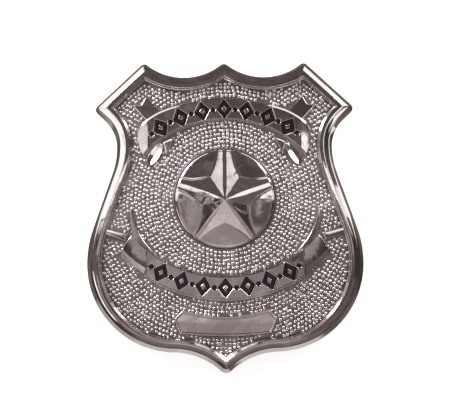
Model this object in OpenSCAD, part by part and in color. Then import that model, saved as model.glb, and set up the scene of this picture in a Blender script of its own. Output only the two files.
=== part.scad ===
// Security shield badge: a struck nickel-plated shell with a beaded face, a raised rim,
// two ribbons and a blank number plate, a domed star medallion set into its face,
// black enamel ornaments sunk in the ribbons, and a plain pin on its hollow back.
// The badge lies on its back: +Z is out of the face, +Y is the top of the badge.

/* [Outline] */
// Half of the badge's width, at its widest
wide_x = 31.2; // [30:0.1:33]
// Height of the widest place over the origin
wide_y = -10.35; // [-11:0.05:-9.5]
// Half of the width at the waist
waist_x = 24.3; // [23.5:0.1:25]
// Height of the waist over the origin
waist_y = 16.1; // [15.5:0.1:16.5]
// Height of the three top points, before they are rounded
peak_y = 35.4; // [35:0.05:36]
// Distance of the two outer top points from the middle
peak_x = 18.05; // [17.5:0.05:18.5]
// Distance of the shoulder corner from the middle, before it is rounded
corner_x = 29.6; // [29:0.1:30]
// Height of the bottom point, before it is rounded
tip_y = -35.75; // [-36.5:0.05:-35.5]

/* [Curves of the outline] */
// Radius of the scallops between the top points
scallop_r = 13.45; // [13:0.05:15]
// Radius of the waist above its narrowest place
waist_up_r = 8.2; // [7.5:0.1:8.5]
// Radius of the waist below its narrowest place
waist_low_r = 17; // [15:0.5:19]
// Radius of the flank above the widest place
flank_r = 24; // [22:0.5:26]
// Radius of the round lower side
belly_r = 20; // [19.5:0.1:20.5]
// Radius of the hollow curve that runs into the bottom point
ogee_r = 16.3; // [15.5:0.1:17]
// Angle from upright of the straight below the shoulder corner
shoulder_angle = 46; // [44:1:48]

/* [Shell] */
// Radius of the gentle dome of the whole face
dome_r = 200; // [180:10:300]
// Height of the beaded ground in the middle of the face
ground_z = 6.8; // [6.6:0.1:7.4]
// Thickness of the shell behind the ground
shell_t = 1.5; // [1.3:0.1:1.6]
// Width of the rim, from the outer foot to the ground
rim_w = 3.55; // [3.4:0.05:3.6]
// Height of the rim's crest over the ground
rim_rise = 1.5; // [1.3:0.1:1.8]
// Thickness of the rim's wall at its foot
wall_t = 1.4; // [1.2:0.1:1.6]
// How much narrower the rim is at the bottom than at the sides
rim_narrowing = 0.75; // [0:0.05:0.8]

/* [Relief on the face] */
// Height of the two ribbons over the ground
ribbon_rise = 1.0; // [0.9:0.05:1.1]
// Height of the ribbons' tails and curls over the ground
tail_rise = 0.55; // [0.4:0.05:0.6]
// Height of the number plate's border over the ground
plate_rise = 0.8; // [0.6:0.05:0.9]
// Depth of the number plate's flat middle below its border
plate_sink = 0.15; // [0.1:0.05:0.25]

/* [Star medallion] */
// Radius of the round medallion
disc_r = 11.15; // [11:0.05:11.2]
// Height of the medallion's middle over the origin
disc_y = 3.7; // [3.6:0.05:3.8]
// Height of the star's point over the foot of the badge
apex_z = 10.4; // [10:0.1:10.8]
// Distance of the star's inner corners from its middle
notch_r = 5.05; // [4.8:0.05:5.3]

/* [Enamel ornaments] */
// Number of lozenges in each ribbon
lozenge_count = 7; // [5:2:7]
// Height of a lozenge
lozenge_h = 4.2; // [3.8:0.1:4.4]
// Width of a lozenge
lozenge_w = 3.3; // [3:0.1:3.4]
// Width of the enamel line
line_w = 0.7; // [0.5:0.05:0.8]
// Depth of the pockets that hold the enamel
pocket_depth = 0.45; // [0.35:0.05:0.5]

/* [Pin] */
// Diameter of the needle
needle_d = 1.1; // [0.9:0.1:1.2]
// Distance between the middles of the pin's two posts
pin_span = 30; // [26:1:32]

/* [Hidden] */
$fn = 64;

// Clearance round a piece that is set into another
gap = 0.05;
// Facets of the large spheres
dome_fn = 360;
// A height over everything on the face
above = 14;
nickel = "#8c8484";
black = "#17161a";

// Roundings of the centre peak, the outer peaks, the shoulder corners and the tip
centre_round = 1.4;
peak_round = 1.1;
corner_round = 1.2;
tip_round = 1.65;
// Rounding that is left where an inner line of the rim turns a corner
least_round = 0.2;

// Centres of the outline's curves
scallop_c = [peak_x / 2, peak_y + sqrt(scallop_r ^ 2 - (peak_x / 2) ^ 2)];
waist_up_c = [waist_x + waist_up_r, waist_y];
waist_low_c = [waist_x + waist_low_r, waist_y];
flank_c = [wide_x - flank_r, wide_y];
belly_c = [wide_x - belly_r, wide_y];

// The hollow curve touches the belly and runs through the tip, so its centre is where two
// circles cross: one round the belly's centre and one round the tip
tip_p = [0, tip_y];
ogee_c = circle_cross(belly_c, belly_r + ogee_r, tip_p, ogee_r);
ogee_angle = angle_of(belly_c - ogee_c);

// The straight flank touches the flank curve and the lower waist curve
flank_angle = angle_of(waist_low_c - flank_c)
    - acos((flank_r + waist_low_r) / norm(waist_low_c - flank_c));

// Outward directions of the two straights that meet in the shoulder corner
shoulder_n = [cos(shoulder_angle), -sin(shoulder_angle)];
shoulder_p = waist_up_c - waist_up_r * shoulder_n;
corner_p = shoulder_p + (corner_x - shoulder_p.x) / sin(shoulder_angle)
    * [sin(shoulder_angle), cos(shoulder_angle)];
peak_p = [peak_x, peak_y];
brow_n = unit([peak_p.y - corner_p.y, corner_p.x - peak_p.x]);

// Cross-section of the rim: inset from the foot, and height over the crest's sphere
RIM_TOP = [
    [0.70, -1.40],
    [0.85, -0.95],
    [1.25, -0.45],
    [1.70, -0.12],
    [2.10, 0.00],
    [2.80, -0.05],
    [3.00, -0.40],
    [3.15, -0.80],
    [3.40, -0.85]
];
// The rim's inner side ends this far below the ground, and the ground this far inside the rim
inner_sink = 0.3;
rim_lap = 0.5;
// The hollow side of the rim runs back from the shell to the foot
under = -rim_rise - shell_t;
RIM_UNDER = [
    [rim_w, under - 0.35],
    [2.30, under - 0.50],
    [1.75, under - 1.20]
];

// Ribbons are arcs about a centre on the middle line: its height, inner and outer radius,
// and the angle from the middle line of each side's end, on the inner and the outer edge
UPPER = [-3.05, 24.3, 29.9];
UPPER_END = [48.5, 41];
LOWER = [13.9, 27.3, 33.3];
LOWER_END = [49.5, 46];
// How far a ribbon's rolled end bulges
roll_bulge = 0.5;
ARC_STEPS = 24;

// Raised pieces beside the ribbons, on the right; each has its mirror image on the left
SWALLOW_TAIL = [[13.0, 21.0], [17.6, 28.0], [18.6, 25.0], [21.6, 25.2], [16.6, 20.4]];
TAIL_STUB = [[21.4, -3.7], [28.2, -1.9], [28.4, -3.9], [22.2, -6.0]];
SLIVER = [[10.8, 18.2], [14.4, 16.7], [13.2, 13.0]];
// A curl or a horn lies between two arcs: its two points, and the bulge of either side
CURL = [[13.8, 16.2], [17.7, 11.6]];
CURL_BULGE = [-1.0, 2.0];
HORN = [[21.0, 3.1], [14.2, -9.4]];
HORN_BULGE = [-1.5, -3.7];
BULGE_STEPS = 10;

// Number plate: half widths at its horns, its side points and its lower corners
PLATE = [[9.5, -20.85], [11.8, -23.15], [10.35, -26.6]];
// How far the plate's upper and lower edges sag in the middle
PLATE_SAG = [1.75, 0.65];
plate_border = 0.5;

// The seat of the medallion is a flat round pocket with a thin lip
seat_depth = 0.5;
seat_z = ground_z - seat_depth;
seat_r = disc_r + 0.15;
lip_w = 0.3;
lip_rise = 0.3;

// The medallion's edge, the rise of its dome over that edge, and the dome's radius
disc_edge_h = 1.0;
disc_edge_z = seat_z + disc_edge_h;
disc_rise = 1.3;
disc_dome_r = (disc_r ^ 2 + disc_rise ^ 2) / (2 * disc_rise);

star_arms = 5;
star_r = disc_r - 0.25;
// The star's point stands a little below the middle of the medallion
apex_shift = -0.5;
// Height of the star's outline over the medallion's dome
star_edge = 0.15;
// Depth of the star's foot below the medallion's edge
star_foot = 0.4;

// Angles between the lozenges in either ribbon, and the dots between them
upper_pitch = 10.6;
lower_pitch = 9.5;
dot_d = 0.9;
// How far the enamel stands below the ribbon's face
enamel_low = 0.1;

// The pin's posts reach up to the hollow side of the shell, and below the needle's middle
post_w = 3.2;
post_l = 3.6;
post_foot = 1.0;
needle_z = 1.6;
needle_over = 1.6;
// The bar that joins the posts lies this far below the ground's hollow side
bar_drop = 1.4;
bar_t = 0.8;

function unit(v) = v / norm(v);
function angle_of(v) = atan2(v.y, v.x);
function polar(r, a) = r * [cos(a), sin(a)];
// Points of an arc; one that starts on the last point of the arc before it leaves that out
function arc(c, r, from, to, steps, first = 0) =
    [for (i = [first:steps]) c + polar(r, from + (to - from) * i / steps)];
function mirror_x(p) = [-p.x, p.y];
function reversed(list) = [for (i = [len(list) - 1:-1:0]) list[i]];
// The right one of the two points that lie at distance ra from a and rb from b
function circle_cross(a, ra, b, rb) =
    let (d = norm(b - a), u = (b - a) / d, k = (d ^ 2 + ra ^ 2 - rb ^ 2) / (2 * d),
         h = sqrt(ra ^ 2 - k ^ 2))
    a + k * u + h * [u.y, -u.x] * (u.y > 0 ? 1 : -1);
// Where two lines with outward directions m and n meet, each through its point less the inset
function line_cross(m, p, n, q, inset) =
    let (a = m * p - inset, b = n * q - inset, det = m.x * n.y - m.y * n.x)
    [a * n.y - b * m.y, m.x * b - n.x * a] / det;
// Centre of a circle that touches the brow line and the scallop, both inset
function peak_cross(inset) =
    let (h = brow_n * scallop_c - (brow_n * peak_p - inset),
         k = sqrt((scallop_r + inset) ^ 2 - h ^ 2))
    scallop_c - h * brow_n + k * [brow_n.y, -brow_n.x];
function round_at(r, inset) = max(r - inset, least_round);

// Right half of the outline, inset by d, from the bottom point up to the centre peak. Each arc
// gives its centre, radius, two angles and number of steps
function half_outline(d) =
    let (
        tip_q = round_at(tip_round, d),
        tip_c = [0, ogee_c.y + sqrt((ogee_r + d + tip_q) ^ 2 - ogee_c.x ^ 2)],
        corner_q = round_at(corner_round, d),
        corner_c = line_cross(shoulder_n, shoulder_p, brow_n, peak_p, d + corner_q),
        peak_q = round_at(peak_round, d),
        peak_c = peak_cross(d + peak_q),
        centre_q = round_at(centre_round, d),
        centre_c = [0, scallop_c.y - sqrt((scallop_r + d + centre_q) ^ 2 - scallop_c.x ^ 2)]
    )
    concat(
        arc(tip_c, tip_q, -90, angle_of(ogee_c - tip_c), 3),
        arc(ogee_c, ogee_r + d, angle_of(tip_c - ogee_c), ogee_angle, 8, 1),
        arc(belly_c, belly_r - d, ogee_angle - 180, 0, 18, 1),
        arc(flank_c, flank_r - d, 0, flank_angle, 4, 1),
        arc(waist_low_c, waist_low_r + d, 180 + flank_angle, 180, 4),
        arc(waist_up_c, waist_up_r + d, 180, 180 - shoulder_angle, 6, 1),
        arc(corner_c, corner_q, -shoulder_angle, angle_of(brow_n), 4),
        arc(peak_c, peak_q, angle_of(brow_n), angle_of(scallop_c - peak_c), 4),
        arc(scallop_c, scallop_r + d, angle_of(peak_c - scallop_c),
            angle_of(centre_c - scallop_c), 10, 1),
        arc(centre_c, centre_q, angle_of(scallop_c - centre_c), 90, 3, 1)
    );
// Below the widest place the rim grows narrower towards the bottom
function lowered(p, d) =
    p.y > wide_y ? p : [p.x, wide_y + (p.y - wide_y)
        * (1 + rim_narrowing / rim_w * d / (wide_y - tip_y - rim_w))];
// The whole outline, counterclockwise from the bottom point
function outline(d) =
    let (right = [for (p = half_outline(d)) lowered(p, d)], last = len(right) - 1)
    concat(right, [for (i = [last - 1:-1:1]) mirror_x(right[i])]);

// Height of the sphere that lies the given rise over the ground
function dome_z(p, rise) = ground_z - dome_r + sqrt((dome_r + rise) ^ 2 - p.x ^ 2 - p.y ^ 2);

// One closed line of the rim on a sphere, and one on the floor
function ring_on_dome(inset, height) =
    [for (p = outline(inset)) [p.x, p.y, dome_z(p, rim_rise + height)]];
function ring_on_floor(inset) = [for (p = outline(inset)) [p.x, p.y, 0]];

// A ribbon's outline: along its inner edge, round its rolled end and back along its outer edge
function band(ribbon, ends, up) =
    let (
        c = [0, ribbon[0]],
        inner = arc(c, ribbon[1], 90 * up + ends[0], 90 * up - ends[0], 2 * ARC_STEPS),
        outer = arc(c, ribbon[2], 90 * up - ends[1], 90 * up + ends[1], 2 * ARC_STEPS),
        first = bulged(inner[2 * ARC_STEPS], outer[0], roll_bulge),
        second = bulged(outer[2 * ARC_STEPS], inner[0], roll_bulge)
    )
    concat(inner, inside(first), outer, inside(second));
// A list without its two ends
function inside(list) = [for (i = [1:len(list) - 2]) list[i]];
// A line from p to q that bulges to its right by the given height, as a parabola
function bulged(p, q, bulge) =
    let (n = unit([(q - p).y, -(q - p).x]))
    [for (i = [0:BULGE_STEPS]) let (t = i / BULGE_STEPS) p + t * (q - p) + 4 * t * (1 - t) * bulge * n];
function leaf(ends, bulges) =
    concat(bulged(ends[0], ends[1], bulges[0]), reversed(bulged(ends[0], ends[1], bulges[1])));

// A space filled from below up to the sphere that lies the given rise over the ground
module under_dome(rise) {
    intersection() {
        linear_extrude(above) children();
        translate([0, 0, ground_z - dome_r]) sphere(dome_r + rise, $fn = dome_fn);
    }
}

module both_sides() {
    children();
    mirror([1, 0, 0]) children();
}

module rim() {
    rings = concat(
        [ring_on_floor(0)],
        [for (row = RIM_TOP) ring_on_dome(row[0], row[1])],
        [ring_on_dome(rim_w, -rim_rise - inner_sink)],
        [for (row = RIM_UNDER) ring_on_dome(row[0], row[1])],
        [ring_on_floor(wall_t)]
    );
    n = len(rings[0]);
    rows = len(rings);
    points = [for (ring = rings) for (p = ring) p];
    faces = [
        for (r = [0:rows - 1]) for (i = [0:n - 1])
            let (a = r * n, b = ((r + 1) % rows) * n, j = (i + 1) % n)
            for (tri = [[a + i, b + i, b + j], [a + i, b + j, a + j]]) tri
    ];
    polyhedron(points, faces);
}

// The number plate, drawn in towards its middle by the inset
module plate_outline(inset) {
    horn = PLATE[0];
    side = PLATE[1];
    foot = PLATE[2];
    top_y = horn.y - PLATE_SAG[0];
    bottom_y = foot.y - PLATE_SAG[1];
    middle_y = (top_y + bottom_y) / 2;
    narrower = 1 - inset / side.x;
    lower = 1 - inset / (top_y - middle_y);
    edge = concat(
        bulged(mirror_x(foot), foot, PLATE_SAG[1]),
        [side],
        reversed(bulged(mirror_x(horn), horn, PLATE_SAG[0])),
        [mirror_x(side)]
    );
    polygon([for (p = edge) [p.x * narrower, middle_y + (p.y - middle_y) * lower]]);
}

// One open lozenge, standing on the middle of its line
module lozenge(grow) {
    difference() {
        rhombus(-grow);
        rhombus(line_w + grow);
    }
}

// A lozenge with its four edges moved in by the inset
module rhombus(inset) {
    a = lozenge_w / 2;
    b = lozenge_h / 2;
    k = 1 - inset * norm([a, b]) / (a * b);
    polygon(k * [[a, 0], [0, b], [-a, 0], [0, -b]]);
}

// Lozenges with dots between them, along the middle of a ribbon
module ornaments(ribbon, up, pitch, grow) {
    middle_r = (ribbon[1] + ribbon[2]) / 2;
    first = -(lozenge_count - 1) / 2;
    translate([0, ribbon[0]]) {
        for (i = [0:lozenge_count - 1])
            rotate(up * (first + i) * -pitch) translate([0, up * middle_r]) lozenge(grow);
        for (i = [0:lozenge_count])
            rotate(up * (first + i - 0.5) * -pitch)
                translate([0, up * middle_r]) circle(d = dot_d + 2 * grow, $fn = 32);
    }
}

// The space over a pocket's floor in a ribbon
module pockets(ribbon, up, pitch) {
    difference() {
        linear_extrude(above) ornaments(ribbon, up, pitch, gap);
        translate([0, 0, ground_z - dome_r])
            sphere(dome_r + ribbon_rise - pocket_depth, $fn = dome_fn);
    }
}

// The face without the rim: ground, seat, ribbons, tails and plate on the domed shell
module face() {
    difference() {
        union() {
            under_dome(0) polygon(outline(rim_w - rim_lap));
            under_dome(ribbon_rise) {
                polygon(band(UPPER, UPPER_END, 1));
                polygon(band(LOWER, LOWER_END, -1));
            }
            under_dome(tail_rise) both_sides() {
                polygon(SWALLOW_TAIL);
                polygon(TAIL_STUB);
                polygon(SLIVER);
                polygon(leaf(CURL, CURL_BULGE));
                polygon(leaf(HORN, HORN_BULGE));
            }
            under_dome(plate_rise) plate_outline(0);
            under_dome(lip_rise) translate([0, disc_y]) circle(seat_r + lip_w, $fn = 96);
        }
        translate([0, 0, ground_z - dome_r]) sphere(dome_r - shell_t, $fn = dome_fn);
        translate([0, disc_y, seat_z]) cylinder(h = above, r = seat_r, $fn = 96);
        difference() {
            linear_extrude(above) plate_outline(plate_border);
            translate([0, 0, ground_z - dome_r])
                sphere(dome_r + plate_rise - plate_sink, $fn = dome_fn);
        }
        pockets(UPPER, 1, upper_pitch);
        pockets(LOWER, -1, lower_pitch);
    }
}

// Five-pointed star with a ridge along each arm, its foot sunk in the medallion's dome
module star() {
    step = 180 / star_arms;
    disc_z = disc_edge_z + disc_rise - disc_dome_r;
    corners = [for (i = [0:2 * star_arms - 1])
        let (r = i % 2 == 0 ? star_r : notch_r, p = polar(r, 90 + i * step))
        [p.x, p.y, disc_z + sqrt(disc_dome_r ^ 2 - r ^ 2) + star_edge]];
    n = len(corners);
    foot_z = disc_edge_z - star_foot;
    foot = [for (p = corners) [p.x, p.y, foot_z]];
    apex = [0, apex_shift, apex_z];
    polyhedron(
        concat(corners, foot, [apex, [0, 0, foot_z]]),
        [for (i = [0:n - 1]) let (j = (i + 1) % n)
            for (tri = [[2 * n, j, i], [i, j, n + j], [i, n + j, n + i], [2 * n + 1, n + i, n + j]]) tri]
    );
}

module shield() {
    color(nickel) union() {
        rim();
        face();
    }
}

module star_medallion() {
    color(nickel) translate([0, disc_y, 0]) union() {
        intersection() {
            translate([0, 0, seat_z + gap])
                cylinder(h = disc_edge_z + disc_rise - seat_z, r = disc_r, $fn = 96);
            translate([0, 0, disc_edge_z + disc_rise - disc_dome_r])
                sphere(disc_dome_r, $fn = dome_fn);
        }
        star();
    }
}

module enamel(ribbon, up, pitch) {
    color(black) difference() {
        under_dome(ribbon_rise - enamel_low) ornaments(ribbon, up, pitch, 0);
        translate([0, 0, ground_z - dome_r])
            sphere(dome_r + ribbon_rise - pocket_depth + gap, $fn = dome_fn);
    }
}

module upper_enamel() {
    enamel(UPPER, 1, upper_pitch);
}

module lower_enamel() {
    enamel(LOWER, -1, lower_pitch);
}

// Two posts that stand on the shell's hollow side, a thin bar and the needle between them
module pin_back() {
    color(nickel) union() {
        intersection() {
            union() {
                for (side = [-1, 1])
                    translate([-post_w / 2, side * pin_span / 2 - post_l / 2, needle_z - post_foot])
                        cube([post_w, post_l, ground_z]);
                translate([-post_w / 2, -pin_span / 2, ground_z - shell_t - bar_drop])
                    cube([post_w, pin_span, bar_t]);
            }
            translate([0, 0, ground_z - dome_r]) sphere(dome_r - shell_t - gap, $fn = dome_fn);
        }
        translate([0, -pin_span / 2 - needle_over, needle_z])
            rotate([-90, 0, 0]) cylinder(h = pin_span + needle_over, d = needle_d, $fn = 32);
    }
}

shield();
star_medallion();
upper_enamel();
lower_enamel();
pin_back();
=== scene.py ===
import math

import bpy
import numpy as np
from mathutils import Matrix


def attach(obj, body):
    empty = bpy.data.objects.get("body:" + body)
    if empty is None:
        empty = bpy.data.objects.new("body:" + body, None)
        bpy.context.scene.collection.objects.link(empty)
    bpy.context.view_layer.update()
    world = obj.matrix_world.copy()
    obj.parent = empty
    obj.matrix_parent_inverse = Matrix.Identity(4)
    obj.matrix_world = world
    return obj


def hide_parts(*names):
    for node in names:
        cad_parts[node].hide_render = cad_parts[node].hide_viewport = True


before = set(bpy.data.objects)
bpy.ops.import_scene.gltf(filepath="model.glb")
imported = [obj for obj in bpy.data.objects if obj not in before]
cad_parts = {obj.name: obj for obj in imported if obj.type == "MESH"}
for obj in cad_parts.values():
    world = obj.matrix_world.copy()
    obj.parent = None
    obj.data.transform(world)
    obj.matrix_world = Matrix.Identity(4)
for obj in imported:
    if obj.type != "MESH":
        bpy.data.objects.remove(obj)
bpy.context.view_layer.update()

# Rim. The polished moulding round the whole shield, struck with the shell from one blank of
# brass, then buffed and nickel plated. Its outer wall drops to the table and carries the
# badge, and a fine step on its inner side leads down to the beaded field.
MM = 0.001
DOME = 200.0
FIELD = 6.8
CREST = 1.5
RIM_WIDTH = 3.55
NARROWING = 0.75
WALL = 1.40
WIDEST = np.array([31.2, -10.35])
WAIST = np.array([24.3, 16.1])
PEAK = np.array([18.05, 35.4])
TIP = np.array([0.0, -35.75])
SHOULDER_X = 29.6
SHOULDER_ANGLE = 46.0
SCALLOP_R, WAIST_UP_R, WAIST_LOW_R = 13.45, 8.2, 17.0
FLANK_R, BELLY_R, HOLLOW_R = 24.0, 20.0, 16.3
TIP_ROUND, CORNER_ROUND, PEAK_ROUND, CENTRE_ROUND, LEAST_ROUND = 1.65, 1.2, 1.1, 1.4, 0.2
# Inset from the foot, and height over the crest's sphere, across the rim's top and underside
TOP = np.array([[0.653, -1.80], [0.70, -1.40], [0.85, -0.95], [1.25, -0.45], [1.70, -0.12],
                [2.10, 0.00], [2.43, -0.01], [2.50, -0.01], [3.00, -0.06], [3.10, -0.45],
                [3.18, -0.85], [3.40, -0.88], [3.50, -1.15], [3.62, -1.90]])
UNDER = np.array([[3.55, -3.35], [2.30, -3.50], [1.75, -4.20]])
BEVEL_START, BEVEL_SLOPE, BEVEL_END, BEVEL_FADE = 2.45, 0.78, 9.5, 2.5
FOOT_ROUND, FOOT_INSET = 0.12, 0.08


def arc(centre, radius, start, stop, steps):
    """Points of a circle: its centre plus the radius times cosine and sine of even angles."""
    turns = np.radians(np.linspace(start, stop, steps + 1))
    return np.asarray(centre) + radius * np.stack([np.cos(turns), np.sin(turns)], axis=1)


def bearing(start, end):
    """Angle in degrees, from the X axis, of the line from one point to another."""
    return math.degrees(math.atan2(end[1] - start[1], end[0] - start[0]))


def run(before, after, steps):
    """Points inside the straight line from the end of one arc to the start of the next."""
    return np.linspace(before[-1], after[0], steps + 1)[1:-1]


def ease(t):
    """A soft step from 0 to 1: three times t squared less twice t cubed."""
    t = np.clip(t, 0, 1)
    return t * t * (3 - 2 * t)


scallop_c = np.array([PEAK[0] / 2, PEAK[1] + math.sqrt(SCALLOP_R**2 - (PEAK[0] / 2) ** 2)])
waist_up_c = WAIST + [WAIST_UP_R, 0]
waist_low_c = WAIST + [WAIST_LOW_R, 0]
flank_c = WIDEST - [FLANK_R, 0]
belly_c = WIDEST - [BELLY_R, 0]
# The hollow curve touches the belly and passes through the tip, so its centre lies where two
# circles cross, one about the belly's centre and one about the tip
tip_distance = np.linalg.norm(TIP - belly_c)
to_tip = (TIP - belly_c) / tip_distance
crossing = (tip_distance**2 + (BELLY_R + HOLLOW_R) ** 2 - HOLLOW_R**2) / (2 * tip_distance)
off_line = math.sqrt((BELLY_R + HOLLOW_R) ** 2 - crossing**2)
hollow_c = belly_c + crossing * to_tip + off_line * np.array([-to_tip[1], to_tip[0]])
hollow_angle = bearing(hollow_c, belly_c)
# The straight flank touches the curves above and below it
flank_angle = bearing(flank_c, waist_low_c) - math.degrees(
    math.acos((FLANK_R + WAIST_LOW_R) / np.linalg.norm(waist_low_c - flank_c)))
# Outward directions of the two straights that meet in the shoulder's corner
shoulder_turn = math.radians(SHOULDER_ANGLE)
shoulder_n = np.array([math.cos(shoulder_turn), -math.sin(shoulder_turn)])
shoulder_p = waist_up_c - WAIST_UP_R * shoulder_n
corner_p = shoulder_p + (SHOULDER_X - shoulder_p[0]) / math.sin(shoulder_turn) * np.array(
    [math.sin(shoulder_turn), math.cos(shoulder_turn)])
brow_n = np.array([PEAK[1] - corner_p[1], corner_p[0] - PEAK[0]])
brow_n = brow_n / np.linalg.norm(brow_n)
brow_angle = bearing((0, 0), brow_n)


def half_outline(inset):
    """Right half of the shield's outline, moved in: arcs that touch, with their radii less or
    plus the inset, from the bottom point up to the middle peak."""
    tip_q, corner_q, peak_q, centre_q = [
        max(r - inset, LEAST_ROUND) for r in (TIP_ROUND, CORNER_ROUND, PEAK_ROUND, CENTRE_ROUND)]
    tip_c = np.array([0, hollow_c[1] + math.sqrt(
        (HOLLOW_R + inset + tip_q) ** 2 - hollow_c[0] ** 2)])
    normals = np.array([shoulder_n, brow_n])
    offsets = [shoulder_n @ shoulder_p - inset - corner_q, brow_n @ PEAK - inset - corner_q]
    corner_c = np.linalg.solve(normals, offsets)
    height = brow_n @ scallop_c - (brow_n @ PEAK - inset - peak_q)
    slide = math.sqrt((SCALLOP_R + inset + peak_q) ** 2 - height**2)
    peak_c = scallop_c - height * brow_n + slide * np.array([brow_n[1], -brow_n[0]])
    centre_c = np.array([0, scallop_c[1] - math.sqrt(
        (SCALLOP_R + inset + centre_q) ** 2 - scallop_c[0] ** 2)])
    tip = arc(tip_c, tip_q, -90, bearing(tip_c, hollow_c), 8)
    hollow = arc(hollow_c, HOLLOW_R + inset, bearing(hollow_c, tip_c), hollow_angle, 24)[1:]
    belly = arc(belly_c, BELLY_R - inset, hollow_angle - 180, 0, 52)[1:]
    flank = arc(flank_c, FLANK_R - inset, 0, flank_angle, 12)[1:]
    low_waist = arc(waist_low_c, WAIST_LOW_R + inset, 180 + flank_angle, 180, 12)
    up_waist = arc(waist_up_c, WAIST_UP_R + inset, 180, 180 - SHOULDER_ANGLE, 18)[1:]
    corner = arc(corner_c, corner_q, -SHOULDER_ANGLE, brow_angle, 10)
    peak = arc(peak_c, peak_q, brow_angle, bearing(peak_c, scallop_c), 10)
    scallop = arc(scallop_c, SCALLOP_R + inset, bearing(scallop_c, peak_c) + 360,
                  bearing(scallop_c, centre_c) + 360, 34)[1:]
    centre = arc(centre_c, centre_q, bearing(centre_c, scallop_c), 90, 8)[1:]
    return np.concatenate([
        tip, hollow, belly, flank, run(flank, low_waist, 8), low_waist, up_waist,
        run(up_waist, corner, 5), corner, run(corner, peak, 8), peak, scallop, centre])


def outline(inset):
    """The whole outline, anticlockwise from the bottom point. Below the widest place each line
    moves up in proportion to its inset, because the rim is narrower at the bottom."""
    right = half_outline(inset)
    low = right[:, 1] < WIDEST[1]
    stretch = 1 + NARROWING / RIM_WIDTH * inset / (WIDEST[1] - TIP[1] - RIM_WIDTH)
    right[low, 1] = WIDEST[1] + (right[low, 1] - WIDEST[1]) * stretch
    return np.concatenate([right, right[-2:0:-1] * [-1, 1]])


def on_dome(plan, rise, height=0.0):
    """Lifts flat points to the sphere that lies the rise over the field: the root of (radius
    plus rise) squared less x squared less y squared, over the sphere's centre, plus a height."""
    level = FIELD - DOME + np.sqrt((DOME + rise) ** 2 - (plan**2).sum(axis=-1)) + height
    return np.concatenate([plan, level[..., None]], axis=-1)


def on_level(plan, height):
    """Flat points at one height over the table."""
    return np.concatenate([plan, np.full((len(plan), 1), height)], axis=1)


def crest_ring(inset, height):
    """One line of the rim's top. Beside the bottom point its inner side is cut to a bevel, which
    falls by its slope times the way past its start, and fades out along the rim."""
    plan = outline(inset)
    beside = ease((BEVEL_END - np.abs(plan[:, 0])) / BEVEL_FADE) * (plan[:, 1] < WIDEST[1])
    bevel = -BEVEL_SLOPE * max(inset - BEVEL_START, 0) * beside
    return on_dome(plan, CREST + np.minimum(height, bevel))


def soften(line, passes):
    """Cuts every corner of an open line at a quarter and three quarters of its sides."""
    for _ in range(passes):
        near, far = 0.75 * line[:-1] + 0.25 * line[1:], 0.25 * line[:-1] + 0.75 * line[1:]
        inner = np.stack([near, far], axis=1).reshape(-1, line.shape[1])
        line = np.concatenate([line[:1], inner, line[-1:]])
    return line


def quads(rows, columns, round_rows=False, round_columns=False):
    """Faces of a grid of points: each joins a point to its neighbours in its row and the next."""
    r, c = np.meshgrid(np.arange(rows - (not round_rows)),
                       np.arange(columns - (not round_columns)), indexing="ij")
    r2, c2 = (r + 1) % rows, (c + 1) % columns
    corners = [r * columns + c, r * columns + c2, r2 * columns + c2, r2 * columns + c]
    return np.stack(corners, axis=-1).reshape(-1, 4)


def put_piece(name, points, faces, node, finish):
    """Makes a smooth piece from points in millimetres, gives it its body and finish, and hides the CAD
    part of the given node.
    """
    mesh = bpy.data.meshes.new(name)
    mesh.from_pydata((np.asarray(points).reshape(-1, 3) * MM).tolist(), [], faces)
    mesh.shade_smooth()
    mesh.materials.append(finish)
    piece = bpy.data.objects.new(name, mesh)
    bpy.context.scene.collection.objects.link(piece)
    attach(piece, "root")
    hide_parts(node)


class Wire:
    """A value inside a shader. Sums, differences and products of wires add Math nodes."""

    def __init__(self, tree, socket=None):
        self.tree, self.socket = tree, socket

    def node(self, kind, settings=None, inputs=None, output=0):
        """Adds a node with its settings and inputs, and returns one of its outputs."""
        made = self.tree.nodes.new(kind)
        for key, value in (settings or {}).items():
            setattr(made, key, value)
        for key, value in (inputs or {}).items():
            if isinstance(value, Wire):
                self.tree.links.new(value.socket, made.inputs[key])
            else:
                made.inputs[key].default_value = value
        return Wire(self.tree, made.outputs[output])

    def math(self, operation, *values):
        """A Math node on the given values."""
        return self.node("ShaderNodeMath", {"operation": operation}, dict(enumerate(values)))

    def clamp(self):
        """This wire, cut off below 0 and above 1."""
        return self.node("ShaderNodeMath", {"operation": "ADD", "use_clamp": True}, {0: self, 1: 0.0})

    def mix(self, low, high):
        """Mixes two colours by this wire: low where it is 0 and high where it is 1."""
        return self.node("ShaderNodeMix", {"data_type": "RGBA"}, {0: self, 6: low, 7: high}, 2)

    def into(self, shader, name):
        """Feeds one of the shader's sockets."""
        self.tree.links.new(self.socket, shader.inputs[name])

    def __add__(self, other):
        return self.math("ADD", self, other)

    def __sub__(self, other):
        return self.math("SUBTRACT", self, other)

    def __rsub__(self, other):
        return self.math("SUBTRACT", other, self)

    def __mul__(self, other):
        return self.math("MULTIPLY", self, other)

    __radd__, __rmul__ = __add__, __mul__


def start_material(name):
    """A new material: its node tree as a wire, its Principled shader and Object coordinates."""
    material = bpy.data.materials.new(name)
    material.use_nodes = True
    tree = material.node_tree
    wire = Wire(tree)
    place = wire.node("ShaderNodeTexCoord", output=3)
    return material, wire, tree.nodes["Principled BSDF"], place


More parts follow.
